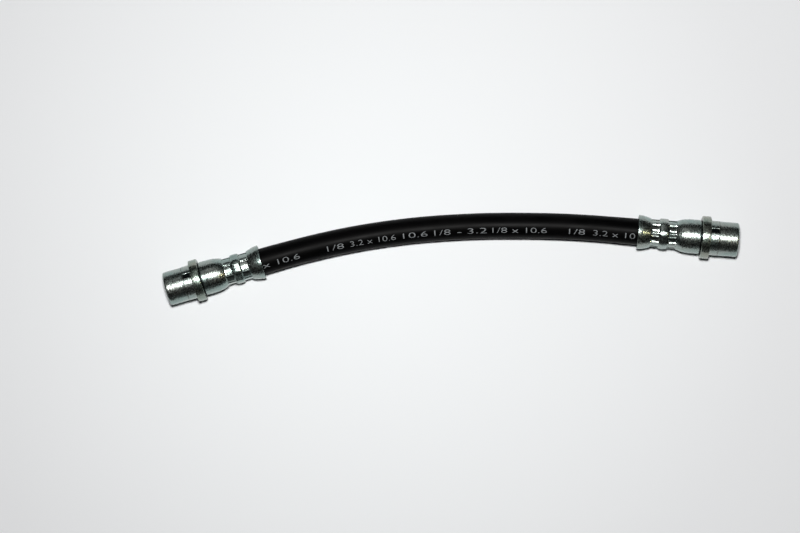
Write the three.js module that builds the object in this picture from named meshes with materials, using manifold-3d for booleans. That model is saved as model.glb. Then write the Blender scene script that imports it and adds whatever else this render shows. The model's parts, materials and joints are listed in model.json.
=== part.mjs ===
// Hydraulic brake hose: a layered rubber hose with a crimped steel fitting at each end.
// Millimetres, +Z up. The assembly lies on Z = 0, on its two collars and the middle of the hose.

import * as THREE from 'three'
import { mergeVertices } from 'three/addons/utils/BufferGeometryUtils.js'
import Module from 'manifold-3d'

const wasm = await Module()
wasm.setup()

// Hose: outside, bore and the layers between them
const hoseDiameter = 10.6
const hoseBore = 3.2
const innerTubeWall = 0.9
const braidWall = 0.4
const tieLayerWall = 0.35
const layerGap = 0.12
const hoseSides = 12
const hoseStep = 22

// Bend of the hose between the two mouths, in its own plane
const hoseRoute = [
  [-77.9, 8.25], [-73, 9.26], [-64, 11], [-54, 12.65], [-44, 14], [-34, 15],
  [-24, 15.65], [-14, 16], [-4, 16], [6, 15.7], [16, 15.2], [26, 14.4],
  [36, 13.43], [46, 12.26], [56, 10.83], [66, 9.14], [72.1, 8], [77, 7.13]
]

// Fitting body, from its free end inwards
const noseDiameter = 13.9
const noseLength = 8.1
const noseRounding = 0.7
const keyedDiameter = 14.1
const keyedLength = 3.4
const keywayWidth = 1.9
const keywayDepth = 0.9
const collarDiameter = 17.3
const collarThickness = 3.4
const collarChamfer = 0.3
const reliefWidth = 0.5
const reliefDepth = 0.3
const barrelDiameter = 13.9
const barrelLength = 2.8
const shoulderLength = 7.5
const shoulderEndDiameter = 11.7

// Crimped shell: two bands pressed by a ring of jaws, a free band between them, a flared mouth
const jawCount = 8
const bandLength = 3
const bandAcrossFlats = 10.6
const bandStep = 0.45
const ridgeDiameter = 11.3
const ridgeTopWidth = 0.3
const ridgeFootWidth = 1.3
const middleLength = 4
const middleAcrossFlats = 12
const middleCornerDiameter = 12.5
const middleEndDrop = 0.25
const flareLength = 5.4
const flareRootDiameter = 12
const mouthDiameter = 14
const shellWall = 1.05
const lipWall = 0.8

// Screw port: core diameter of the thread, countersunk mouth and conical seat
const portThreadDiameter = 10
const portCoreDiameter = 8.9
const portSinkWidth = 0.3
const portDepth = 13
const seatConeAngle = 120
const passageDiameter = 2.5
const socketFloorWall = 4.2

// Nipple: thin barbed tube that carries the bore through the crimp
const nippleDiameter = 4.2
const nippleBarbHeight = 0.2
const nippleSeatDepth = 4
const nippleTipChamfer = 0.35
const nippleReach = 3
const seatClearance = 0.2
const endClearance = 0.3

// Clocking of each fitting about its own axis, in degrees from the upper side of the bend's plane
const keywayClocking = { left: -10, right: 10 }
const jawClocking = { left: 31.5, right: -15.5 }

// Facets: columns round each body, and where the curved lengths have their rows
const bodySegments = jawCount * 6
const cavitySegments = 32
const nippleSegments = 24
const roundingTurns = [0, 45, 90]
const shoulderShares = [1, 0.5, 0.3, 0.15, 0.06, 0]
const flareShares = [0, 0.33, 0.67, 1]

const degrees = Math.PI / 180
const overrun = 1

// Stations along a fitting, measured from its free end
const keyedStart = noseLength
const collarStart = keyedStart + keyedLength
const collarEnd = collarStart + collarThickness
const barrelEnd = collarEnd + barrelLength
const outerBandStart = barrelEnd + shoulderLength
const outerBandEnd = outerBandStart + bandLength
const innerBandStart = outerBandEnd + middleLength
const innerBandEnd = innerBandStart + bandLength
const fittingLength = innerBandEnd + flareLength
const middleCentre = (outerBandEnd + innerBandStart) / 2
const seatHeight = (portCoreDiameter - passageDiameter) / 2 / Math.tan(seatConeAngle / 2 * degrees)
const passageStart = portDepth + seatHeight
const nippleStart = passageStart + socketFloorWall
const socketFloor = nippleStart + nippleSeatDepth
const nippleEnd = innerBandEnd + nippleReach

// Radii that pieces share
const hoseRadius = hoseDiameter / 2
const boreRadius = hoseBore / 2
const nippleRadius = nippleDiameter / 2
const barbRadius = nippleRadius + nippleBarbHeight
const bandBoreRadius = bandAcrossFlats / 2 - shellWall
const middleBoreRadius = middleAcrossFlats / 2 - shellWall
const socketRadius = hoseRadius + seatClearance
const mouthBoreRadius = mouthDiameter / 2 - lipWall
const hoseFacet = Math.cos(Math.PI / hoseSides)

function revolve (profile, segments, startAngle = 0) {
  const points = profile.map(([radius, station]) => new THREE.Vector2(radius, station))
  return new THREE.LatheGeometry(points, segments, startAngle)
}

function toSolid (geometry) {
  const bare = geometry.clone()
  bare.deleteAttribute('normal')
  bare.deleteAttribute('uv')
  const merged = mergeVertices(bare, 1e-4)
  return new wasm.Manifold(new wasm.Mesh({
    numProp: 3,
    vertProperties: Float32Array.from(merged.attributes.position.array),
    triVerts: Uint32Array.from(merged.index.array)
  }))
}

function toGeometry (solid) {
  const mesh = solid.getMesh()
  const geometry = new THREE.BufferGeometry()
  geometry.setAttribute('position', new THREE.BufferAttribute(mesh.vertProperties, 3))
  geometry.setIndex(new THREE.BufferAttribute(mesh.triVerts, 1))
  geometry.computeVertexNormals()
  return geometry
}

// The jaws leave faces round the shell, and metal flows up between them as narrow ridges.
// Columns of one jaw, turned from the ridge: its foot, its crest and two columns on the face.
const pitch = 2 * Math.PI / jawCount
const ridgeTop = Math.asin(ridgeTopWidth / ridgeDiameter)
const ridgeFoot = Math.asin(ridgeFootWidth / ridgeDiameter)
const faceThird = (pitch - 2 * ridgeFoot) / 3
const jawColumns = [
  { turn: -ridgeFoot, onCrest: false },
  { turn: -ridgeTop, onCrest: true },
  { turn: ridgeTop, onCrest: true },
  { turn: ridgeFoot, onCrest: false },
  { turn: ridgeFoot + faceThird, onCrest: false },
  { turn: ridgeFoot + 2 * faceThird, onCrest: false }
]

function flatRadius (acrossFlats, turn) {
  const fromRidge = turn > pitch / 2 ? pitch - turn : Math.abs(turn)
  return acrossFlats / 2 / Math.cos(pitch / 2 - fromRidge)
}

// A pressed face is slightly round: half way between a flat and the circle inside it.
function bandRadius ({ turn, onCrest }) {
  const faceRadius = Math.sqrt(flatRadius(bandAcrossFlats, turn) * bandAcrossFlats / 2)
  return onCrest ? ridgeDiameter / 2 : faceRadius
}

function middleRadius ({ turn }, drop) {
  return Math.min(flatRadius(middleAcrossFlats, turn), middleCornerDiameter / 2) - drop
}

// Outside of a fitting. A row is a radius and a station, or a rule for the radius round the shell.
function fittingOutline () {
  const rows = [[0, 0]]
  const noseRadius = noseDiameter / 2
  for (const turn of roundingTurns) {
    rows.push([
      noseRadius - noseRounding * (1 - Math.sin(turn * degrees)),
      noseRounding * (1 - Math.cos(turn * degrees))
    ])
  }
  const step = (keyedDiameter - noseDiameter) / 2
  const collarRadius = collarDiameter / 2
  rows.push(
    [noseRadius, keyedStart - step],
    [keyedDiameter / 2, keyedStart],
    [keyedDiameter / 2, collarStart],
    [collarRadius - collarChamfer, collarStart],
    [collarRadius, collarStart + collarChamfer],
    [collarRadius, collarEnd - collarChamfer],
    [collarRadius - collarChamfer, collarEnd],
    [barrelDiameter / 2 - reliefDepth, collarEnd],
    [barrelDiameter / 2 - reliefDepth, collarEnd + reliefWidth],
    [barrelDiameter / 2, collarEnd + reliefWidth]
  )
  const shoulderDrop = (barrelDiameter - shoulderEndDiameter) / 2
  for (const share of shoulderShares) {
    rows.push([
      barrelDiameter / 2 - shoulderDrop * (1 - share) ** 3,
      outerBandStart - bandStep - (shoulderLength - bandStep) * share
    ])
  }
  rows.push(
    [bandRadius, outerBandStart],
    [bandRadius, outerBandEnd],
    [(column) => middleRadius(column, middleEndDrop), outerBandEnd + bandStep],
    [(column) => middleRadius(column, 0), middleCentre],
    [(column) => middleRadius(column, middleEndDrop), innerBandStart - bandStep],
    [bandRadius, innerBandStart],
    [bandRadius, innerBandEnd]
  )
  const flareRise = (mouthDiameter - flareRootDiameter) / 2
  for (const share of flareShares) {
    rows.push([
      flareRootDiameter / 2 + flareRise * Math.sin(share * Math.PI / 2),
      innerBandEnd + bandStep + (flareLength - bandStep) * share
    ])
  }
  rows.push([0, fittingLength])
  return rows
}

// Revolves the outline, then sets each vertex on its jaw column and at its own radius.
function fittingBlank (jawAngle) {
  const outline = fittingOutline()
  const radiusAt = (radius, column) => radius instanceof Function ? radius(column) : radius
  const plain = outline.map(([radius, station]) => [radiusAt(radius, jawColumns[0]), station])
  const geometry = revolve(plain, bodySegments)
  const position = geometry.attributes.position
  for (let column = 0; column <= bodySegments; column++) {
    const place = column % bodySegments
    const jawColumn = jawColumns[place % jawColumns.length]
    const angle = Math.floor(place / jawColumns.length) * pitch + jawColumn.turn + jawAngle
    outline.forEach(([radius, station], row) => {
      const size = radiusAt(radius, jawColumn)
      const vertex = column * outline.length + row
      position.setXYZ(vertex, size * Math.sin(angle), station, size * Math.cos(angle))
    })
  }
  return toSolid(geometry)
}

// Bore of the shell over the hose, as radius and station. The hose follows the same stations.
const shellBore = [
  [socketRadius, socketFloor],
  [bandBoreRadius, outerBandStart],
  [bandBoreRadius, outerBandEnd],
  [middleBoreRadius, middleCentre],
  [bandBoreRadius, innerBandStart],
  [bandBoreRadius, innerBandEnd],
  [socketRadius, nippleEnd + endClearance],
  [mouthBoreRadius, fittingLength]
]

// Everything that is hollow: screw port, seat, passage, nipple seat and hose socket
function fittingCavity () {
  const coreRadius = portCoreDiameter / 2
  const sinkRadius = portThreadDiameter / 2 + portSinkWidth
  return toSolid(revolve([
    [0, -overrun],
    [sinkRadius, -overrun],
    [sinkRadius, 0],
    [coreRadius, sinkRadius - coreRadius],
    [coreRadius, portDepth],
    [passageDiameter / 2, passageStart],
    [passageDiameter / 2, nippleStart - endClearance],
    [nippleRadius + seatClearance, nippleStart - endClearance],
    [nippleRadius + seatClearance, socketFloor],
    ...shellBore,
    [mouthBoreRadius, fittingLength + overrun],
    [0, fittingLength + overrun]
  ], cavitySegments))
}

// Locating groove across the keyed length, at clock angle zero
function keywayCut (clockAngle) {
  const bar = new THREE.BoxGeometry(keywayWidth, keyedLength, 2 * keywayDepth)
  bar.translate(0, keyedStart + keyedLength / 2, keyedDiameter / 2)
  bar.rotateY(clockAngle)
  return toSolid(bar)
}

function fittingGeometry (side) {
  const blank = fittingBlank(jawClocking[side] * degrees)
  const hollow = blank.subtract(fittingCavity())
  return toGeometry(hollow.subtract(keywayCut(keywayClocking[side] * degrees)))
}

// Nipple: plain in its seat, a saw-toothed barb under each crimp band, a chamfered tip
function nippleGeometry () {
  const rows = [[passageDiameter / 2, nippleStart], [nippleRadius, nippleStart]]
  for (const bandStart of [outerBandStart, innerBandStart]) {
    rows.push(
      [nippleRadius, bandStart],
      [barbRadius, bandStart],
      [nippleRadius, bandStart + bandLength / 2],
      [barbRadius, bandStart + bandLength / 2],
      [nippleRadius, bandStart + bandLength]
    )
  }
  rows.push(
    [nippleRadius, nippleEnd - nippleTipChamfer],
    [nippleRadius - nippleTipChamfer, nippleEnd],
    [passageDiameter / 2, nippleEnd],
    [passageDiameter / 2, nippleStart]
  )
  return revolve(rows, nippleSegments)
}

// Centreline of the hose, straight on beyond each mouth
const route = new THREE.CatmullRomCurve3(hoseRoute.map(([x, y]) => new THREE.Vector3(x, y, 0)))
const routeLength = route.getLength()

function routeFrame (distance) {
  const inside = THREE.MathUtils.clamp(distance, 0, routeLength)
  const along = route.getTangentAt(inside / routeLength)
  const point = route.getPointAt(inside / routeLength)
  point.addScaledVector(along, distance - inside)
  const side = new THREE.Vector3(along.y, -along.x, 0)
  return { point, along, side }
}

// The hose lies with the middle of its bend on the floor, so the bend's plane leans by this angle.
const bendTop = Math.max(...hoseRoute.map(([, y]) => y))
const collarEdge = fittingLength - collarEnd + collarChamfer
const collarY = (routeFrame(-collarEdge).point.y + routeFrame(routeLength + collarEdge).point.y) / 2
const lean = Math.asin((collarDiameter - hoseDiameter) / 2 / (bendTop - collarY))

// Outside and bore of the whole hose at each station, as radius pairs
function hoseStations () {
  const squeezed = shellBore.slice(0, -1).map(([radius, station]) => ({
    station,
    outer: Math.min(radius - seatClearance, hoseRadius),
    bore: (barbRadius + seatClearance / 2) / hoseFacet
  }))
  squeezed[0].station += endClearance
  const free = { station: fittingLength + endClearance, outer: hoseRadius, bore: boreRadius }
  const end = [...squeezed, free]
  const left = end.map((row) => ({ ...row, station: row.station - fittingLength }))
  const right = left.map((row) => ({ ...row, station: routeLength - row.station })).reverse()
  const firstFree = free.station - fittingLength
  const count = Math.round((routeLength - 2 * firstFree) / hoseStep)
  const middle = []
  for (let i = 1; i < count; i++) {
    const share = i / count
    middle.push({ ...free, station: firstFree + (routeLength - 2 * firstFree) * share })
  }
  return [...left, ...middle, ...right]
}

// One layer of the hose: a straight sleeve between two depths of the wall, then bent to the route
function layerGeometry (innerDepth, outerDepth) {
  const wall = hoseRadius - boreRadius
  const stations = hoseStations()
  const radiusAt = (row, depth) => row.bore + (row.outer - row.bore) * depth / wall
  const inside = stations.map((row) => [radiusAt(row, innerDepth), row.station])
  const outside = stations.map((row) => [radiusAt(row, outerDepth), row.station])
  const sleeve = revolve([...outside, ...inside.reverse(), outside[0]], hoseSides, lean)
  const position = sleeve.attributes.position
  for (let i = 0; i < position.count; i++) {
    const frame = routeFrame(position.getY(i))
    const place = frame.point.addScaledVector(frame.side, position.getX(i))
    position.setXYZ(i, place.x, place.y, position.getZ(i))
  }
  sleeve.computeVertexNormals()
  return sleeve
}

// Layers from the bore outwards; the cover takes the rest of the wall
const tubeOut = innerTubeWall
const innerBraidIn = tubeOut + layerGap
const tieIn = innerBraidIn + braidWall + layerGap
const outerBraidIn = tieIn + tieLayerWall + layerGap
const coverIn = outerBraidIn + braidWall + layerGap
const hoseLayers = [
  { name: 'inner_tube', from: 0, to: tubeOut, material: 'tubeRubber' },
  { name: 'inner_braid', from: innerBraidIn, to: innerBraidIn + braidWall, material: 'braidYarn' },
  { name: 'tie_layer', from: tieIn, to: tieIn + tieLayerWall, material: 'tubeRubber' },
  { name: 'outer_braid', from: outerBraidIn, to: outerBraidIn + braidWall, material: 'braidYarn' },
  { name: 'hose_cover', from: coverIn, to: hoseRadius - boreRadius, material: 'coverRubber' }
]

const finishes = {
  zincPlate: { color: 0xb9bdb8, roughness: 0.28, metalness: 1 },
  nippleSteel: { color: 0xa7a9a8, roughness: 0.35, metalness: 1 },
  coverRubber: { color: 0x0b0b0c, roughness: 0.55, metalness: 0 },
  tubeRubber: { color: 0x161617, roughness: 0.7, metalness: 0 },
  braidYarn: { color: 0xd8d3c4, roughness: 0.9, metalness: 0 }
}

function namedMesh (name, geometry, finish) {
  const mesh = new THREE.Mesh(geometry, new THREE.MeshStandardMaterial(finishes[finish]))
  mesh.name = name
  return mesh
}

// A fitting with its nipple, its mouth on the route's end and its own +Y running into the hose
function fittingGroup (side) {
  const frame = routeFrame(side === 'left' ? 0 : routeLength)
  const inwards = side === 'left' ? frame.along : frame.along.negate()
  const up = new THREE.Vector3(0, 0, 1)
  const across = new THREE.Vector3().crossVectors(inwards, up)
  const group = new THREE.Group()
  group.quaternion.setFromRotationMatrix(new THREE.Matrix4().makeBasis(across, inwards, up))
  group.position.copy(frame.point).addScaledVector(inwards, -fittingLength)
  group.add(namedMesh(`${side}_fitting`, fittingGeometry(side), 'zincPlate'))
  group.add(namedMesh(`${side}_nipple`, nippleGeometry(), 'nippleSteel'))
  return group
}

const fittings = new THREE.Group()
fittings.add(fittingGroup('left'), fittingGroup('right'))

const hose = new THREE.Group()
for (const layer of hoseLayers) {
  hose.add(namedMesh(layer.name, layerGeometry(layer.from, layer.to), layer.material))
}

const assembly = new THREE.Group()
assembly.add(fittings, hose)
assembly.rotation.x = -lean

const brakeHose = new THREE.Group()
brakeHose.add(assembly)

// The origin is on the floor, midway between the two fittings.
brakeHose.updateMatrixWorld(true)
const span = new THREE.Box3().setFromObject(fittings, true)
const middle = span.getCenter(new THREE.Vector3())
assembly.position.set(-middle.x, -middle.y, -span.min.z)
brakeHose.updateMatrixWorld(true)

export default brakeHose
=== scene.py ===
import json
import math

import bmesh
import bpy
from mathutils import Matrix, Vector
from mathutils.noise import noise


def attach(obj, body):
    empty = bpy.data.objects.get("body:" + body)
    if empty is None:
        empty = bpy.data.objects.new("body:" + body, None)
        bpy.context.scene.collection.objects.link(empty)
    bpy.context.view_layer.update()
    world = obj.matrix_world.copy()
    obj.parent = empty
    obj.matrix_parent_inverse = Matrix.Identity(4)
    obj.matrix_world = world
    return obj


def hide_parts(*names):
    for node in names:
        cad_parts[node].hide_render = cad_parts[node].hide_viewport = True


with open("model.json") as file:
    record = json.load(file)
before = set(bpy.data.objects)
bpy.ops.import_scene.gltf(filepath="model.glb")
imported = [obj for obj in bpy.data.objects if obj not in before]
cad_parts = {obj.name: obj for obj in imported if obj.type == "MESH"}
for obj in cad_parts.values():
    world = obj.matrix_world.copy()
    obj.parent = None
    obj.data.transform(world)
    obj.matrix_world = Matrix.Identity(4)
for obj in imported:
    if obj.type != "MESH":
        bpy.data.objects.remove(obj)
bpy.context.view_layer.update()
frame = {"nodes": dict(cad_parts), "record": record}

mm = 0.001
mounts = {mount["name"]: mount for mount in frame["record"]["mounts"]}


# lengths along a fitting from its free end, and diameters, in millimetres
fittingSizes = {
    "noseDiameter": 13.9, "noseLength": 8.1, "noseRounding": 0.7,
    "keyedDiameter": 14.1, "keyedLength": 3.4, "keywayWidth": 1.9, "keywayDepth": 0.9,
    "collarDiameter": 17.3, "collarThickness": 3.4, "collarRounding": 0.3,
    "reliefWidth": 0.5, "reliefDepth": 0.3,
    "barrelDiameter": 13.9, "barrelLength": 2.8, "shoulderLength": 7.5, "shoulderEnd": 11.7,
    "bandLength": 3.0, "bandStep": 0.45, "bandFlats": 10.6,
    "ridgeDiameter": 11.3, "ridgeTop": 0.16,
    "middleLength": 4.0, "middleFlats": 12.16, "middleCorners": 12.5,
    "waistDrop": 0.33, "cornerDrop": 0.16, "cornerBlend": 0.02,
    "flareLength": 5.4, "flareRoot": 12.0, "mouthDiameter": 14.0, "lipWall": 0.8,
    "shellWall": 1.05, "threadDiameter": 10.0, "coreDiameter": 8.9, "threadPitch": 1.0,
    "sinkDiameter": 10.6, "portDepth": 13.0, "seatAngle": 120, "passage": 2.5,
    "seatWall": 4.2, "nippleSeat": 4.0, "nippleDiameter": 4.2, "nippleReach": 3.0,
    "barbRoom": 0.3, "clearance": 0.2, "endGap": 0.3,
}
jaws = 8
jawClock = {"left": 31.5, "right": -15.5}       # degrees from the bend's upper side
keywayClock = {"left": -10, "right": 10}
# pressed faces: across, how round (0 is flat, 1 a cylinder), edge bitten in, and the ridge's foot
bandFace = {"left": (10.66, 0.62, 0.02, 1.08), "right": (10.48, 0.49, 0.17, 1.74)}
# how the plating is finished, counted from 0 on the faces that the jaws pressed; step, relief and recess
# are painted shade, darkening the colour at the nose's step, in the relief groove and on the keyway floor
finishAndShadeLevel = {"plain": 0.35, "rim": 0.65, "step": 0.78, "reliefShade": 0.85, "recessShade": 1.0}
portRadius = 5.8      # where the record's port mount stands on the end face

hoseSizes = {
    "diameter": 10.6, "bore": 3.2, "coverDepth": 2.53, "underCover": 0.02,
    "swell": 0.12, "swellLength": 9.0, "sourceSides": 12,
}

# the same points as in the part's source, in metres, in the plane of the bend
hoseRoute = [
    (-0.0779, 0.00825), (-0.073, 0.00926), (-0.064, 0.011), (-0.054, 0.01265), (-0.044, 0.014),
    (-0.034, 0.015), (-0.024, 0.01565), (-0.014, 0.016), (-0.004, 0.016), (0.006, 0.0157),
    (0.016, 0.0152), (0.026, 0.0144), (0.036, 0.01343), (0.046, 0.01226), (0.056, 0.01083),
    (0.066, 0.00914), (0.0721, 0.008), (0.077, 0.00713),
]


def stationsOf(sizes):
    # where each length of the fitting starts, counted from the free end
    marks = {"keyed": sizes["noseLength"]}
    marks["collar"] = marks["keyed"] + sizes["keyedLength"]
    marks["barrel"] = marks["collar"] + sizes["collarThickness"]
    marks["shoulder"] = marks["barrel"] + sizes["barrelLength"]
    marks["outerBand"] = marks["shoulder"] + sizes["shoulderLength"]
    marks["middle"] = marks["outerBand"] + sizes["bandLength"]
    marks["innerBand"] = marks["middle"] + sizes["middleLength"]
    marks["flare"] = marks["innerBand"] + sizes["bandLength"]
    marks["mouth"] = marks["flare"] + sizes["flareLength"]
    cone = (sizes["coreDiameter"] - sizes["passage"]) / 2
    marks["passage"] = sizes["portDepth"] + cone / math.tan(math.radians(sizes["seatAngle"] / 2))
    marks["nipple"] = marks["passage"] + sizes["seatWall"]
    marks["socket"] = marks["nipple"] + sizes["nippleSeat"]
    return marks


marks = stationsOf(fittingSizes)

# the bend's plane, from the two port mounts of the record
outward = {side: Vector(mounts[side + "_port_face"]["axis"]).normalized() for side in ("left", "right")}
planeUp = outward["left"].cross(outward["right"]).normalized()
portCentre = {
    side: Vector(mounts[side + "_port_face"]["pos_m"]) - planeUp * portRadius * mm
    for side in ("left", "right")
}
planeX = Vector((1, 0, 0))
planeY = planeUp.cross(planeX)
leftMouth = portCentre["left"] - outward["left"] * marks["mouth"] * mm
planeOrigin = leftMouth - planeX * hoseRoute[0][0] - planeY * hoseRoute[0][1]


def smoothRoute(points, steps):
    # centripetal Catmull-Rom through the points, as the part's curve runs
    padded = [2 * points[0] - points[1], *points, 2 * points[-1] - points[-2]]
    line = []
    for a, b, c, d in zip(padded, padded[1:], padded[2:], padded[3:]):
        ab, bc, cd = ((q - p).length ** 0.5 for p, q in ((a, b), (b, c), (c, d)))
        startPull = ((b - a) / ab - (c - a) / (ab + bc) + (c - b) / bc) * bc
        endPull = ((c - b) / bc - (d - b) / (bc + cd) + (d - c) / cd) * bc
        for i in range(steps):
            t = i / steps
            line.append(
                b * (2 * t**3 - 3 * t**2 + 1) + startPull * (t**3 - 2 * t**2 + t)
                + c * (3 * t**2 - 2 * t**3) + endPull * (t**3 - t**2)
            )
    line.append(points[-1])
    return line


routePoints = [planeOrigin + planeX * x + planeY * y for x, y in hoseRoute]
routeLine = smoothRoute(routePoints, steps=40)
routeSteps = [0.0]
for before, after in zip(routeLine, routeLine[1:]):
    routeSteps.append(routeSteps[-1] + (after - before).length)
routeLength = routeSteps[-1]


def routeFrame(distance):
    # a point of the centreline with its direction, running straight on beyond the mouths
    inside = min(max(distance, 0.0), routeLength)
    low, high = 0, len(routeSteps) - 1
    while high - low > 1:
        half = (low + high) // 2
        low, high = (half, high) if routeSteps[half] <= inside else (low, half)
    span = routeSteps[high] - routeSteps[low]
    point = routeLine[low].lerp(routeLine[high], (inside - routeSteps[low]) / span)
    near, far = max(low - 1, 0), min(high + 1, len(routeLine) - 1)
    along = (routeLine[far] - routeLine[near]).normalized()
    return point + along * (distance - inside), along


def smoothStep(value):
    value = min(max(value, 0.0), 1.0)
    return value * value * (3 - 2 * value)


def halfTurn(angle):
    # the same angle between minus and plus half a turn
    return (angle + math.pi) % (2 * math.pi) - math.pi


def gridMesh(name, rings, smoothAngle, finishAndShadeLevels=()):
    # rings of points joined into quads and closed into a ring-shaped solid
    count = len(rings[0])
    verts = [point for ring in rings for point in ring]
    faces = []
    for row in range(len(rings)):
        near, far = row * count, (row + 1) % len(rings) * count
        for i in range(count):
            j = (i + 1) % count
            faces.append((near + i, near + j, far + j, far + i))
    mesh = bpy.data.meshes.new(name)
    mesh.from_pydata(verts, [], faces)
    work = bmesh.new()
    work.from_mesh(mesh)
    bmesh.ops.recalc_face_normals(work, faces=work.faces)
    work.to_mesh(mesh)
    work.free()
    if finishAndShadeLevels:
        # the finish attribute holds the plating's finish and its painted shade levels
        finish = mesh.attributes.new("finish", "FLOAT", "POINT")
        finish.data.foreach_set("value", finishAndShadeLevels)
    mesh.shade_smooth()
    mesh.set_sharp_from_angle(angle=math.radians(smoothAngle))
    piece = bpy.data.objects.new(name, mesh)
    bpy.context.scene.collection.objects.link(piece)
    return piece


# materials

def newMaterial(name):
    material = bpy.data.materials.new(name)
    material.use_nodes = True
    tree = material.node_tree
    shader = tree.nodes["Principled BSDF"]
    place = tree.nodes.new("ShaderNodeTexCoord")
    return material, tree, shader, place


def addNoise(tree, place, scale, detail, stretch=(1, 1, 1)):
    mapping = tree.nodes.new("ShaderNodeMapping")
    mapping.inputs["Scale"].default_value = stretch
    texture = tree.nodes.new("ShaderNodeTexNoise")
    texture.inputs["Scale"].default_value = scale
    texture.inputs["Detail"].default_value = detail
    tree.links.new(place.outputs["Object"], mapping.inputs["Vector"])
    tree.links.new(mapping.outputs["Vector"], texture.inputs["Vector"])
    return texture.outputs["Fac"]


def addRamp(tree, source, stops):
    ramp = tree.nodes.new("ShaderNodeValToRGB")
    ends = ramp.color_ramp.elements
    while len(ends) < len(stops):
        ends.new(0.5)
    for end, (position, colour) in zip(ends, stops):
        end.position = position
        end.color = (*colour, 1) if len(colour) == 3 else (*colour * 3, 1)
    tree.links.new(source, ramp.inputs["Fac"])
    return ramp.outputs["Color"]


def addBump(tree, shader, source, strength, depth):
    # the strength is a number, or the output of a ramp
    bump = tree.nodes.new("ShaderNodeBump")
    if isinstance(strength, float):
        bump.inputs["Strength"].default_value = strength
    else:
        tree.links.new(strength, bump.inputs["Strength"])
    bump.inputs["Distance"].default_value = depth
    tree.links.new(source, bump.inputs["Height"])
    tree.links.new(bump.outputs["Normal"], shader.inputs["Normal"])


def zincPlate():
    # plating, smoothest where the jaws pressed it, warmer on the collar's rim, with painted shade
    # darkening the relief groove, the keyway floor and the line at the nose's step
    material, tree, shader, place = newMaterial("zincPlate")
    shader.inputs["Metallic"].default_value = 1
    finish = tree.nodes.new("ShaderNodeAttribute")
    finish.attribute_name = "finish"
    level = finish.outputs["Fac"]
    cloud = addNoise(tree, place, scale=130, detail=3)
    tone = addRamp(tree, cloud, [(0.38, (0.26, 0.334, 0.314)), (0.62, (0.322, 0.354, 0.33))])
    plain, rim, reliefShade = (finishAndShadeLevel[name] for name in ("plain", "rim", "reliefShade"))
    # the relief and recess stops are painted shade, nearly black; the step level between rim and relief
    # gives a line of painted shade
    rimTintAndPaintedShade = addRamp(tree, level, [
        (0.0, (1.0, 1.0, 1.0)), (plain, (1.0, 1.0, 1.0)), (rim, (0.9, 0.87, 0.81)),
        (reliefShade, (0.07, 0.07, 0.075)), (1.0, (0.03, 0.03, 0.034)),
    ])
    mixed = tree.nodes.new("ShaderNodeVectorMath")
    mixed.operation = "MULTIPLY"
    tree.links.new(tone, mixed.inputs[0])
    tree.links.new(rimTintAndPaintedShade, mixed.inputs[1])
    tree.links.new(mixed.outputs["Vector"], shader.inputs["Base Color"])
    speck = addNoise(tree, place, scale=1500, detail=4, stretch=(1.7, 0.8, 0.8))
    dull = addRamp(tree, level, [(0.0, (0.14,)), (plain, (0.205,)), (rim, (0.2,)), (1.0, (0.3,))])
    grain = addRamp(tree, speck, [(0.38, (0.0,)), (0.64, (0.13,))])
    rough = tree.nodes.new("ShaderNodeMath")
    rough.operation = "ADD"
    tree.links.new(grain, rough.inputs[0])
    tree.links.new(dull, rough.inputs[1])
    tree.links.new(rough.outputs["Value"], shader.inputs["Roughness"])
    strength = addRamp(tree, level, [(0.0, (0.2,)), (plain, (0.6,)), (1.0, (0.6,))])
    addBump(tree, shader, speck, strength, depth=0.00012)
    return material


def turnedSteel():
    material, tree, shader, place = newMaterial("turnedSteel")
    shader.inputs["Metallic"].default_value = 1
    rings = addNoise(tree, place, scale=900, detail=2, stretch=(6, 1, 1))
    tree.links.new(
        addRamp(tree, rings, [(0.3, (0.45, 0.45, 0.44)), (0.7, (0.6, 0.6, 0.59))]),
        shader.inputs["Base Color"],
    )
    tree.links.new(addRamp(tree, rings, [(0.3, (0.25,)), (0.7, (0.4,))]), shader.inputs["Roughness"])
    addBump(tree, shader, rings, strength=0.2, depth=0.00002)
    return material


def coverRubber():
    material, tree, shader, place = newMaterial("coverRubber")
    cloud = addNoise(tree, place, scale=180, detail=4, stretch=(0.4, 1, 1))
    tree.links.new(
        addRamp(tree, cloud, [(0.3, (0.0005, 0.0005, 0.0006)), (0.7, (0.0018, 0.0017, 0.0018))]),
        shader.inputs["Base Color"],
    )
    tree.links.new(addRamp(tree, cloud, [(0.3, (0.38,)), (0.7, (0.48,))]), shader.inputs["Roughness"])
    shader.inputs["Specular IOR Level"].default_value = 0.04
    grain = addNoise(tree, place, scale=2400, detail=5, stretch=(0.5, 1, 1))
    addBump(tree, shader, grain, strength=0.25, depth=0.00004)
    return material


def tubeRubber():
    material, tree, shader, place = newMaterial("tubeRubber")
    cloud = addNoise(tree, place, scale=300, detail=3)
    tree.links.new(
        addRamp(tree, cloud, [(0.3, (0.014, 0.014, 0.015)), (0.7, (0.024, 0.024, 0.025))]),
        shader.inputs["Base Color"],
    )
    tree.links.new(addRamp(tree, cloud, [(0.3, (0.6,)), (0.7, (0.75,))]), shader.inputs["Roughness"])
    addBump(tree, shader, cloud, strength=0.2, depth=0.00005)
    return material


def braidYarn():
    material, tree, shader, place = newMaterial("braidYarn")
    weave = tree.nodes.new("ShaderNodeTexWave")
    weave.wave_type = "BANDS"
    weave.bands_direction = "DIAGONAL"
    weave.inputs["Scale"].default_value = 900
    weave.inputs["Distortion"].default_value = 0.6
    tree.links.new(place.outputs["Object"], weave.inputs["Vector"])
    tree.links.new(
        addRamp(tree, weave.outputs["Fac"], [(0.2, (0.42, 0.39, 0.32)), (0.8, (0.72, 0.69, 0.60))]),
        shader.inputs["Base Color"],
    )
    shader.inputs["Roughness"].default_value = 0.85
    addBump(tree, shader, weave.outputs["Fac"], strength=0.6, depth=0.0001)
    return material


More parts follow.
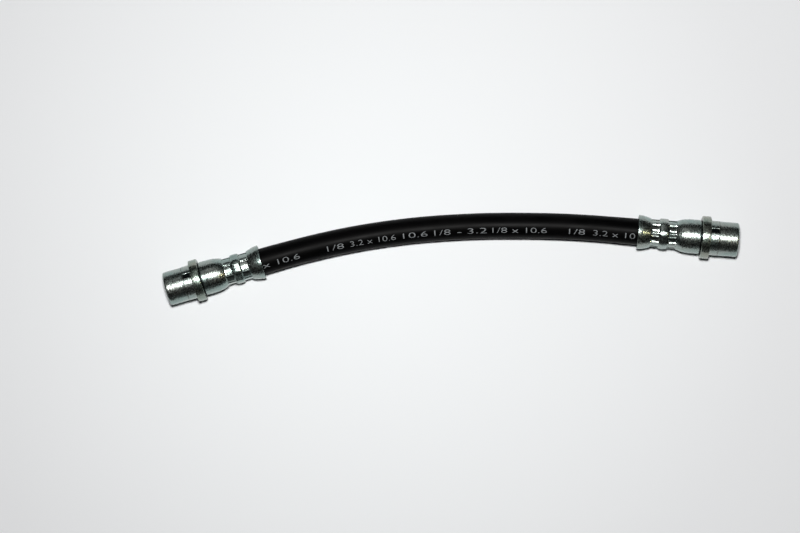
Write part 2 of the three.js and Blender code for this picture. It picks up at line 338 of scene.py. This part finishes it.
def printInk():
    material, tree, shader, place = newMaterial("printInk")
    wear = addNoise(tree, place, scale=1500, detail=3)
    tree.links.new(
        addRamp(tree, wear, [(0.3, (0.155, 0.168, 0.175)), (0.7, (0.28, 0.298, 0.308))]),
        shader.inputs["Base Color"],
    )
    tree.links.new(addRamp(tree, wear, [(0.3, (0.5,)), (0.7, (0.7,))]), shader.inputs["Roughness"])
    return material


finishes = {
    "zinc": zincPlate(), "steel": turnedSteel(), "cover": coverRubber(),
    "tube": tubeRubber(), "braid": braidYarn(), "ink": printInk(),
}
print("materials ready")


# camera: straight above the hose, rolled as the photograph is
photo = {
    "width": 800, "height": 533, "focalPixels": 1800, "millimetresPerPixel": 0.41, "roll": 4.92,
    "sensorWidth": 36, "near": 0.05, "far": 20,
}
objectCentre = (450.9, 264.7)       # the middle of the line between the free ends, in its pixels


def placeCamera():
    scale = photo["millimetresPerPixel"] * mm
    roll = math.radians(photo["roll"])
    imageRight = Vector((math.cos(roll), -math.sin(roll), 0))
    imageUp = Vector((math.sin(roll), math.cos(roll), 0))
    middle = (portCentre["left"] + portCentre["right"]) / 2
    aside = (objectCentre[0] - photo["width"] / 2) * scale
    above = (photo["height"] / 2 - objectCentre[1]) * scale
    aim = middle - imageRight * aside - imageUp * above
    camera = bpy.data.objects.new("camera", bpy.data.cameras.new("camera"))
    camera.data.sensor_width = photo["sensorWidth"]
    camera.data.lens = camera.data.sensor_width * photo["focalPixels"] / photo["width"]
    camera.data.clip_start = photo["near"]
    camera.data.clip_end = photo["far"]
    camera.location = middle + Vector((0, 0, photo["focalPixels"] * scale))
    back = (camera.location - aim).normalized()
    right = (imageRight - back * imageRight.dot(back)).normalized()
    up = back.cross(right)
    camera.rotation_mode = "QUATERNION"
    camera.rotation_quaternion = Matrix((right, up, back)).transposed().to_quaternion()
    bpy.context.scene.collection.objects.link(camera)
    bpy.context.scene.camera = camera


placeCamera()


# hose cover: a sleeve that follows the route and is squeezed inside each crimped shell

coverGrid = {"columns": 72, "freeRings": 260, "socketRings": 44}


def squeezeRows():
    # radius of the shell's bore at its stations, as the part has it
    sizes = fittingSizes
    band = sizes["bandFlats"] / 2 - sizes["shellWall"]
    socket = hoseSizes["diameter"] / 2 + sizes["clearance"]
    return [
        (marks["socket"], socket),
        (marks["outerBand"], band),
        (marks["middle"], band),
        ((marks["middle"] + marks["innerBand"]) / 2, sizes["middleFlats"] / 2 - sizes["shellWall"]),
        (marks["innerBand"], band),
        (marks["flare"], band),
        (marks["flare"] + sizes["nippleReach"] + sizes["endGap"], socket),
        (marks["mouth"], sizes["mouthDiameter"] / 2 - sizes["lipWall"]),
    ]


shellBore = squeezeRows()


def boreAt(station):
    for (a, low), (b, high) in zip(shellBore, shellBore[1:]):
        if station <= b:
            return low + (high - low) * max(station - a, 0) / (b - a)
    return shellBore[-1][1]


def coverRadii(distance):
    # outside and inside of the cover, in millimetres, at a distance along the route
    fromMouth = min(distance, routeLength / mm - distance)
    free = hoseSizes["diameter"] / 2
    bore = hoseSizes["bore"] / 2
    swell = hoseSizes["swell"] * math.exp(-((max(fromMouth, 0) / hoseSizes["swellLength"]) ** 2))
    outer = free + swell
    if fromMouth < 0:
        station = marks["mouth"] + fromMouth
        outer = min(free + swell, boreAt(station) - fittingSizes["clearance"])
        reach = fittingSizes["nippleReach"]
        barbs = fittingSizes["nippleDiameter"] / 2 + fittingSizes["barbRoom"]
        wide = barbs / math.cos(math.pi / hoseSizes["sourceSides"])
        past = (station - marks["flare"] - reach) / (marks["mouth"] - marks["flare"] - reach)
        bore = wide if station < marks["flare"] + reach else wide + (bore - wide) * past
    share = hoseSizes["coverDepth"] / ((hoseSizes["diameter"] - hoseSizes["bore"]) / 2)
    return outer, bore + (min(outer, free) - bore) * share + hoseSizes["underCover"]


def hoseCover():
    reach = marks["mouth"] - marks["socket"] - fittingSizes["endGap"]
    length = routeLength / mm
    free, socket = coverGrid["freeRings"], coverGrid["socketRings"]
    distances = [-reach + reach * i / socket for i in range(socket)]
    distances += [length * i / free for i in range(free + 1)]
    distances += [length + reach * (i + 1) / socket for i in range(socket)]
    outside, inside, centres = [], [], []
    for distance in distances:
        point, along = routeFrame(distance * mm)
        side = along.cross(planeUp)
        outer, inner = coverRadii(distance)
        ringOut, ringIn = [], []
        for i in range(coverGrid["columns"]):
            turn = 2 * math.pi * i / coverGrid["columns"]
            arm = side * math.sin(turn) + planeUp * math.cos(turn)
            ringOut.append(point + arm * outer * mm)
            ringIn.append(point + arm * inner * mm)
        outside.append(ringOut)
        inside.append(ringIn)
        centres.append(point)
    piece = gridMesh("hose_cover_visual", outside + inside[::-1], smoothAngle=50)
    piece.data.materials.append(finishes["cover"])
    return piece, centres, (length + 2 * reach) * mm


cover, coverLine, coverLength = hoseCover()
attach(cover, "root")
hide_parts("hose_cover")
print("hose cover made,", round(routeLength / mm, 1), "mm between the mouths")


# fittings: one closed grid each, with the crimp, the keyway and the thread in its radius

jawPitch = 2 * math.pi / jaws
ridgeRadius = fittingSizes["ridgeDiameter"] / 2
keywayEdge = 0.22           # how wide its rounded edge is
keywayGap = 0.02            # between the last column of its floor and the wall
keywayShares = (0.1, 0.3, 0.6, 1)
ridgeShares = (0.07, 0.15, 0.28, 0.43, 0.58, 0.73, 0.88, 1.05)
faceSteps = 15              # across a jaw's face
columnRoom = 0.008          # radians that other columns keep from a keyway's
# how unlike the jaws are: amount, then spacing and place in the noise
jawScatter = {"depth": (0.05, 3.7, 0.5), "tilt": (0.04, 2.9, 7.5)}
# flanks in shares of the pitch, then how far before the port's end the thread runs out
threadForm = {"foot": 0.44, "flank": 0.32, "runOut": 0.9, "fade": 0.8}
# small lengths where the section turns, in millimetres
rowGap = {
    "hair": 0.02, "sliver": 0.03, "inset": 0.5, "noseStart": 1.2, "stepLine": 0.3, "stepDark": 0.24,
    "reliefFloor": 0.15, "reliefRise": 0.06, "reliefLip": 0.07, "reliefEnd": 0.08,
    "pressedFade": 0.4, "lipEdge": 0.06, "lipRound": 0.15,
    "threadEnd": 0.6, "threadStart": 0.9, "sink": 0.87, "sinkRadius": 4.7,
}


def keywayWalls():
    # offsets of the columns at one side of the keyway: floor, wall, then the rounded edge
    half = fittingSizes["keywayWidth"] / 2
    return [half - keywayGap, half] + [half + share * keywayEdge for share in keywayShares]


def columnAngles(side):
    # columns crowd at each ridge and at each wall of the keyway
    ridge = bandFace[side][3] / fittingSizes["ridgeDiameter"]
    half = [ridge * share for share in ridgeShares]
    fine = [-turn for turn in half[::-1]] + [0] + half
    face = jawPitch - 2 * fine[-1]
    wide = [fine[-1] + face * i / faceSteps for i in range(1, faceSteps)]
    start = math.radians(jawClock[side])
    angles = [start + jaw * jawPitch + t for jaw in range(jaws) for t in fine + wide]
    keyway = math.radians(keywayClock[side])
    radius = fittingSizes["keyedDiameter"] / 2
    walls = [keyway + way * offset / radius for way in (-1, 1) for offset in keywayWalls()]
    turned = [angle % (2 * math.pi) for angle in angles]
    kept = [angle for angle in turned if min(abs(halfTurn(angle - wall)) for wall in walls) > columnRoom]
    return sorted(kept + [wall % (2 * math.pi) for wall in walls])


def fromRidge(angle, side):
    turn = (angle - math.radians(jawClock[side])) % jawPitch
    return turn - jawPitch if turn > jawPitch / 2 else turn


def jawNoise(kind, jaw, seed):
    amount, spacing, place = jawScatter[kind]
    return amount * noise(Vector((jaw * spacing, seed, place)))


def bandRadius(angle, side, seed):
    # a slightly round face for each jaw and a narrow ridge between, no two pressed quite alike
    turn = fromRidge(angle, side)
    jaw = int(((angle - math.radians(jawClock[side])) % (2 * math.pi)) / jawPitch)
    uneven, tilt = jawNoise("depth", jaw, seed), jawNoise("tilt", jaw, seed)
    across, roundness, bite, width = bandFace[side]
    turnedFace = jawPitch / 2 - (turn if turn > 0 else turn + jawPitch)
    flat = across / 2 / math.cos(turnedFace) ** (1 - roundness) + uneven + tilt * turnedFace * across / 2
    reach = abs(turn) * ridgeRadius
    top, foot = fittingSizes["ridgeTop"] / 2, width / 2
    flat -= bite * smoothStep((width - reach) / foot)
    lift = smoothStep((foot - reach) / (foot - top))
    return flat + (ridgeRadius - flat) * lift


def middleRadius(angle, side, station):
    # flats that fall away to both ends faster than the corners, so each corner is lens-shaped
    sizes = fittingSizes
    middle = (marks["middle"] + marks["innerBand"]) / 2
    out = abs(station - middle) / (sizes["middleLength"] / 2)
    across = jawPitch / 2 - abs(fromRidge(angle, side))
    flat = (sizes["middleFlats"] / 2 - sizes["waistDrop"] * out**2) / math.cos(across)
    corner = sizes["middleCorners"] / 2 - sizes["cornerDrop"] * out**2
    blend = sizes["cornerBlend"]
    return corner - blend * math.log(1 + math.exp((corner - flat) / blend))


def plainShell(station):
    # the shell before the jaws close: shoulder, then the root of the flare, then the mouth
    sizes = fittingSizes
    barrel, root = sizes["barrelDiameter"] / 2, sizes["shoulderEnd"] / 2
    step = sizes["bandStep"]
    if station < marks["outerBand"]:
        share = max(marks["outerBand"] - step - station, 0) / (sizes["shoulderLength"] - step)
        return barrel - (barrel - root) * (1 - min(share, 1)) ** 3
    share = max(station - marks["flare"] - step, 0) / (sizes["flareLength"] - step)
    rise = (sizes["mouthDiameter"] - sizes["flareRoot"]) / 2
    return sizes["flareRoot"] / 2 + rise * math.sin(share * math.pi / 2)


def shellRadius(station, angle, side):
    step = fittingSizes["bandStep"]
    if marks["middle"] <= station <= marks["innerBand"]:
        inwards = min(station - marks["middle"], marks["innerBand"] - station)
        seed = 1 if station < (marks["middle"] + marks["innerBand"]) / 2 else 2
        band = bandRadius(angle, side, seed)
        return band + (middleRadius(angle, side, station) - band) * smoothStep(inwards / step)
    if station < marks["middle"]:
        inwards, band = station - marks["outerBand"], bandRadius(angle, side, 1)
    else:
        inwards, band = marks["flare"] - station, bandRadius(angle, side, 2)
    plain = plainShell(station)
    return band + (plain - band) * smoothStep(-inwards / step)


def spread(start, end, count):
    return [start + (end - start) * i / count for i in range(count)]


def shellStations():
    # rows crowd at the steps beside the crimp bands
    step = fittingSizes["bandStep"]
    ends = [
        marks["shoulder"], marks["outerBand"] - step, marks["outerBand"], marks["middle"],
        marks["middle"] + step, marks["innerBand"] - step, marks["innerBand"],
        marks["flare"], marks["flare"] + step, marks["mouth"],
    ]
    counts = [30, 8, 8, 8, 12, 8, 8, 8, 16]
    return [row for start, end, count in zip(ends, ends[1:], counts) for row in spread(start, end, count)]


def quarter(station, radius, size, start, count=6):
    # a quarter round with its centre at (station, radius)
    turns = [math.radians(start + 90 * i / count) for i in range(count + 1)]
    return [(station - size * math.cos(t), radius + size * math.sin(t)) for t in turns]


def threadRadius(station, angle):
    sizes = fittingSizes
    core, depth = sizes["coreDiameter"] / 2, (sizes["threadDiameter"] - sizes["coreDiameter"]) / 2
    turn = (station / sizes["threadPitch"] - angle / (2 * math.pi)) % 1
    height = min(max((threadForm["foot"] - abs(turn - 0.5)) / threadForm["flank"], 0), 1)
    fade = smoothStep((sizes["portDepth"] - threadForm["runOut"] - station) / threadForm["fade"])
    return core + depth * height * fade


def fittingRows(side):
    # once round the section: end face, outside to the mouth, lip, and back through the bore
    sizes = fittingSizes
    nose, keyed, collar, barrel = (
        sizes[name] / 2 for name in ("noseDiameter", "keyedDiameter", "collarDiameter", "barrelDiameter")
    )
    rounding, edge = sizes["noseRounding"], sizes["collarRounding"]
    groove = keyed - sizes["keywayDepth"]
    keyway = math.radians(keywayClock[side])
    half = sizes["keywayWidth"] / 2
    floorEnd = half - keywayGap / 2
    hair, sliver, inset = rowGap["hair"], rowGap["sliver"], rowGap["inset"]
    step, line = finishAndShadeLevel["step"], marks["keyed"] - rowGap["stepLine"]
    rows = [(0, sizes["sinkDiameter"] / 2), (0, (nose - rounding + sizes["sinkDiameter"] / 2) / 2)]
    rows += quarter(rounding, nose - rounding, rounding, 0)
    rows += [(station, nose) for station in spread(rowGap["noseStart"], line, 4)]
    # the rows at the nose's step carry the step level, a thin line of painted shade
    rows += [(line, nose), (marks["keyed"] - rowGap["stepDark"], nose, step)]
    rows += [(marks["keyed"] - hair, keyed, step)]

    def grooved(angle, station):
        turn = halfTurn(angle - keyway)
        off = abs(turn) * keyed
        if off < floorEnd:
            return groove / math.cos(turn)
        share = min(max((half + keywayEdge - off) / keywayEdge, 0), 1)
        return keyed - keywayEdge * (1 - math.sqrt(1 - share**2))

    # painted shade: the keyway's floor is darkened in the colour as if in shadow
    def paintedShadeFloor(angle):
        onFloor = abs(halfTurn(angle - keyway)) * keyed < floorEnd
        return finishAndShadeLevel["recessShade"] if onFloor else finishAndShadeLevel["plain"]

    rows += [(marks["keyed"], keyed), (marks["keyed"] + sliver, grooved, paintedShadeFloor)]
    keyRows = spread(marks["keyed"] + inset, marks["collar"] - inset, 3) + [marks["collar"] - hair]
    rows += [(station, grooved, paintedShadeFloor) for station in keyRows]
    rows += [(marks["collar"], keyed + sliver)]
    rim = quarter(marks["collar"] + edge / 2, collar - edge / 2, edge / 2, 0, 4)
    rim += quarter(marks["barrel"] - edge, collar - edge, edge, 90, 4)
    rows += [(station, radius, finishAndShadeLevel["rim"]) for station, radius in rim]
    floor, ended = barrel - sizes["reliefDepth"], marks["barrel"] + sizes["reliefWidth"]
    # the relief groove between collar and barrel is darkened with painted shade
    grooveShade = finishAndShadeLevel["reliefShade"]
    rows += [(marks["barrel"], barrel, grooveShade), (marks["barrel"] + hair, floor, grooveShade)]
    rows += [(marks["barrel"] + rowGap["reliefFloor"], floor, grooveShade)]
    rows += [(ended - rowGap["reliefRise"], barrel - rowGap["reliefLip"], grooveShade)]
    rows += [(ended, barrel - hair), (ended + rowGap["reliefEnd"], barrel)]
    rows += [(station, barrel) for station in spread(ended + inset, marks["shoulder"], 4)]

    def pressed(station):
        outer = min(station - marks["outerBand"], marks["middle"] - station)
        inner = min(station - marks["innerBand"], marks["flare"] - station)
        share = smoothStep((max(outer, inner) + sizes["bandStep"]) / rowGap["pressedFade"])
        return finishAndShadeLevel["plain"] * (1 - share)

    rows += [
        (station, lambda angle, station: shellRadius(station, angle, side), pressed(station))
        for station in shellStations()
    ]
    mouth, lip = sizes["mouthDiameter"] / 2, sizes["lipWall"]
    lipEdge, lipRound = rowGap["lipEdge"], rowGap["lipRound"]
    rows += [(marks["mouth"] - lipEdge, mouth), (marks["mouth"], mouth - lipEdge)]
    rows += [(marks["mouth"], mouth - lip + lipRound), (marks["mouth"] - lipRound, mouth - lip)]
    rows += [(station, radius) for station, radius in shellBore[-2::-1]]
    seat = sizes["nippleDiameter"] / 2 + sizes["clearance"]
    passage = sizes["passage"] / 2
    rows += [(marks["socket"], seat), (marks["nipple"] - sizes["endGap"], seat)]
    rows += [(marks["nipple"] - sizes["endGap"], passage), (marks["passage"], passage)]
    rows += [(sizes["portDepth"], sizes["coreDiameter"] / 2)]

    def threaded(angle, station):
        return threadRadius(station, angle)

    def sunk(angle, station):
        return max(threadRadius(station, angle), rowGap["sinkRadius"])

    threadRows = spread(sizes["portDepth"] - rowGap["threadEnd"], rowGap["threadStart"], 124)
    return rows + [(station, threaded) for station in threadRows] + [(rowGap["sink"], sunk)]


def fittingPiece(side):
    inwards = -outward[side]
    across = inwards.cross(planeUp)
    angles = columnAngles(side)
    rings, finishAndShadeLevels = [], []
    for station, radius, *finish in fittingRows(side):
        level = finish[0] if finish else finishAndShadeLevel["plain"]
        finishAndShadeLevels += [level(angle) if callable(level) else level for angle in angles]
        ring = []
        for angle in angles:
            size = radius(angle, station) if callable(radius) else radius
            arm = across * math.sin(angle) + planeUp * math.cos(angle)
            ring.append(portCentre[side] + inwards * station * mm + arm * size * mm)
        rings.append(ring)
    piece = gridMesh(side + "_fitting_visual", rings, smoothAngle=38, finishAndShadeLevels=finishAndShadeLevels)
    piece.data.materials.append(finishes["zinc"])
    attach(piece, "root")
    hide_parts(side + "_fitting")
    return piece


fittings = {side: fittingPiece(side) for side in ("left", "right")}
print("fittings made,", sum(len(piece.data.polygons) for piece in fittings.values()), "faces")


# print on the hose: plain sizes and strokes in one line

printLine = {
    "height": 2.5, "around": 36.5, "thin": -0.012, "lift": 0.012, "thickness": 0.02,
    # of the built-in letter's unit size: its capitals, and the slices that let it bend
    "capitals": 0.72, "slice": 0.09, "slices": range(-3, 12),
    # start and end of each word along the photograph, in its pixels
    "words": [
        ("x 10.6", 263, 300), ("1/8", 328, 345), ("3.2 x 10.6", 352, 398), ("10.6", 405, 430),
        ("1/8", 437, 453), ("-", 460, 464), ("3.2", 470, 490), ("1/8 x 10.6", 495, 549),
        ("1/8", 571, 587), ("3.2 x 10", 595, 636),
    ],
}


def wordMesh(word):
    curve = bpy.data.curves.new("word", "FONT")
    curve.body = word
    curve.resolution_u = 3
    curve.offset = printLine["thin"]
    holder = bpy.data.objects.new("word", curve)
    bpy.context.scene.collection.objects.link(holder)
    evaluated = holder.evaluated_get(bpy.context.evaluated_depsgraph_get())
    flat = bpy.data.meshes.new_from_object(evaluated)
    bpy.data.objects.remove(holder)
    bpy.data.curves.remove(curve)
    return flat


def distanceAtColumn(pixel):
    # distance along the route of the point that the photograph shows at this column
    roll = math.radians(photo["roll"])
    aside = (pixel - objectCentre[0]) * photo["millimetresPerPixel"] * mm / math.cos(roll)
    target = (portCentre["left"] + portCentre["right"]).x / 2 + aside
    for step, point in zip(routeSteps, routeLine):
        if point.x >= target:
            return step
    return routeLength


def hosePrint():
    sizes = printLine
    joined = bmesh.new()
    around = math.radians(sizes["around"])
    for word, startPixel, endPixel in sizes["words"]:
        flat = wordMesh(word)
        work = bmesh.new()
        work.from_mesh(flat)
        xs = [vert.co.x for vert in work.verts]
        start, end = distanceAtColumn(startPixel), distanceAtColumn(endPixel)
        stretch = (end - start) / (max(xs) - min(xs))
        for level in sizes["slices"]:
            geometry = work.verts[:] + work.edges[:] + work.faces[:]
            bmesh.ops.bisect_plane(
                work, geom=geometry, plane_co=(0, level * sizes["slice"], 0), plane_no=(0, 1, 0), dist=1e-6
            )
        radius = hoseSizes["diameter"] / 2 + sizes["lift"]
        for vert in work.verts:
            distance = start + (vert.co.x - min(xs)) * stretch
            rise = (vert.co.y / sizes["capitals"] - 0.5) * sizes["height"]
            angle = around - rise / radius
            point, along = routeFrame(distance)
            swell = coverRadii(distance / mm)[0] - hoseSizes["diameter"] / 2
            arm = along.cross(planeUp) * math.sin(angle) + planeUp * math.cos(angle)
            vert.co = point + arm * (radius + swell) * mm
        work.to_mesh(flat)
        joined.from_mesh(flat)
        work.free()
        bpy.data.meshes.remove(flat)
    mesh = bpy.data.meshes.new("hose_print")
    bmesh.ops.recalc_face_normals(joined, faces=joined.faces)
    joined.to_mesh(mesh)
    joined.free()
    piece = bpy.data.objects.new("hose_print", mesh)
    bpy.context.scene.collection.objects.link(piece)
    solid = piece.modifiers.new("solid", "SOLIDIFY")
    solid.thickness = sizes["thickness"] * mm
    solid.offset = 0
    mesh.materials.append(finishes["ink"])
    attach(piece, "root")


hosePrint()
print("print made")


# what stays as the part has it

def dressNode(name, finish):
    node = frame["nodes"][name]
    node.data.materials.clear()
    node.data.materials.append(finishes[finish])


for name, finish in (
    ("left_nipple", "steel"), ("right_nipple", "steel"), ("inner_tube", "tube"),
    ("tie_layer", "tube"), ("inner_braid", "braid"), ("outer_braid", "braid"),
):
    dressNode(name, finish)


# white paper with a painted falloff of light, one small lamp near the camera, and faint ones for what the
# plating mirrors

studio = {
    "paperSize": 4.0, "paperPlace": (-0.04, 0.008, -0.00003),
    # distances from the paper's middle, and the colours there: painted falloff of light, brighter in the
    # middle and darker outwards
    "paperPaintedFalloff": [(0.01, (0.925, 0.951, 0.966)), (0.18, (0.815, 0.826, 0.842))],
    "lampSize": 0.06, "lampTurn": 6.2, "lampDistance": 0.74, "lampPower": 5.5,
    "lampColour": (1, 0.995, 0.985), "worldColour": (1, 1, 1.03, 1), "worldLevel": 0.008,
}
# name, size, power, place and colour
faintLamps = [
    ("wallLamp", 1.0, 0.32, (0, 1.4, 1.3), (1, 1, 0.98)),
    ("lowLamp", 0.7, 0.12, (0, -1.7, 0.3), (1, 1, 1)),
    ("sideLamp", 0.2, 0.4, (-0.2, 1.3, 1.25), (1, 1, 1)),
    ("warmLamp", 0.03, 0.9, (0.52, -0.12, 0.85), (1, 0.8, 0.45)),
]


def whitePaper():
    mesh = bpy.data.meshes.new("paper")
    half = studio["paperSize"] / 2
    corners = [(-half, -half, 0), (half, -half, 0), (half, half, 0), (-half, half, 0)]
    mesh.from_pydata(corners, [], [(0, 1, 2, 3)])
    paper = bpy.data.objects.new("paper", mesh)
    paper.location = studio["paperPlace"]
    bpy.context.scene.collection.objects.link(paper)
    material, tree, shader, place = newMaterial("paper")
    length = tree.nodes.new("ShaderNodeVectorMath")
    length.operation = "LENGTH"
    tree.links.new(place.outputs["Object"], length.inputs[0])
    # painted light: the paper's colour darkens with distance from its middle
    tone = addRamp(tree, length.outputs["Value"], studio["paperPaintedFalloff"])
    tree.links.new(tone, shader.inputs["Base Color"])
    shader.inputs["Roughness"].default_value = 0.9
    shader.inputs["Specular IOR Level"].default_value = 0.1
    mesh.materials.append(material)


def addLamp(name, size, power, place, colour, onlyMirrored=True):
    lamp = bpy.data.lights.new(name, "AREA")
    lamp.shape = "SQUARE"
    lamp.size = size
    lamp.energy = power
    lamp.color = colour
    holder = bpy.data.objects.new(name, lamp)
    holder.location = place
    holder.rotation_mode = "QUATERNION"
    holder.rotation_quaternion = (-Vector(place)).to_track_quat("-Z", "Y")
    holder.visible_diffuse = not onlyMirrored
    bpy.context.scene.collection.objects.link(holder)


def lightScene():
    world = bpy.data.worlds.new("room")
    bpy.context.scene.world = world
    world.use_nodes = True
    background = world.node_tree.nodes["Background"]
    background.inputs["Color"].default_value = studio["worldColour"]
    background.inputs["Strength"].default_value = studio["worldLevel"]
    turn, distance = math.radians(studio["lampTurn"]), studio["lampDistance"]
    overhead = (0, distance * math.sin(turn), distance * math.cos(turn))
    addLamp(
        "mainLamp", studio["lampSize"], studio["lampPower"], overhead, studio["lampColour"],
        onlyMirrored=False,
    )
    for name, size, power, place, colour in faintLamps:
        addLamp(name, size, power, place, colour)


whitePaper()
lightScene()
bpy.context.scene.view_settings.view_transform = "Standard"
print("studio ready")
